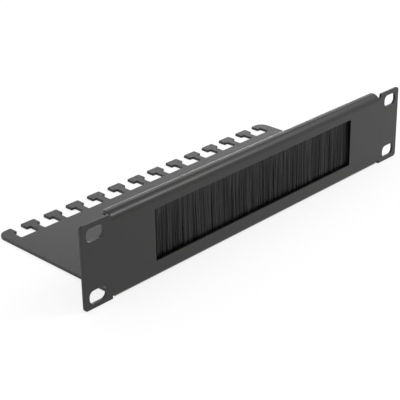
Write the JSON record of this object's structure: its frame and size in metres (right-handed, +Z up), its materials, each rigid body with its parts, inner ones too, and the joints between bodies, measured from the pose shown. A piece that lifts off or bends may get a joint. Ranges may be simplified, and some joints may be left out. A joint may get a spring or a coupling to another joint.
{
  "type": "rack brush strip panel",
  "caption": "Black folded steel rack panel with a brush window for cables, slotted ears, a rounded top flange and a rear tray edged with T-shaped cable tie hooks.",
  "frame": {"origin": "middle of the front plate's rear face, the plane that seats on the rack's rails, midway between the rack slots", "axes": "X along the panel's length, Y from the front plate to the rear, Z up"},
  "size_m": [0.254, 0.0891, 0.0436],
  "materials": {
    "panel_coating": "satin black powder coat on steel sheet",
    "channel_steel": "black coated steel strip",
    "wire_steel": "drawn wire",
    "bristle_nylon": "black nylon bristles",
    "bond_rubber": "black elastic adhesive"
  },
  "bodies": {
    "root": {"rack_panel": "panel_coating", "brush_channel": "channel_steel", "core_wire": "wire_steel", "bristle_curtain": "bristle_nylon", "adhesive_bond": "bond_rubber"}
  },
  "joints": []
}
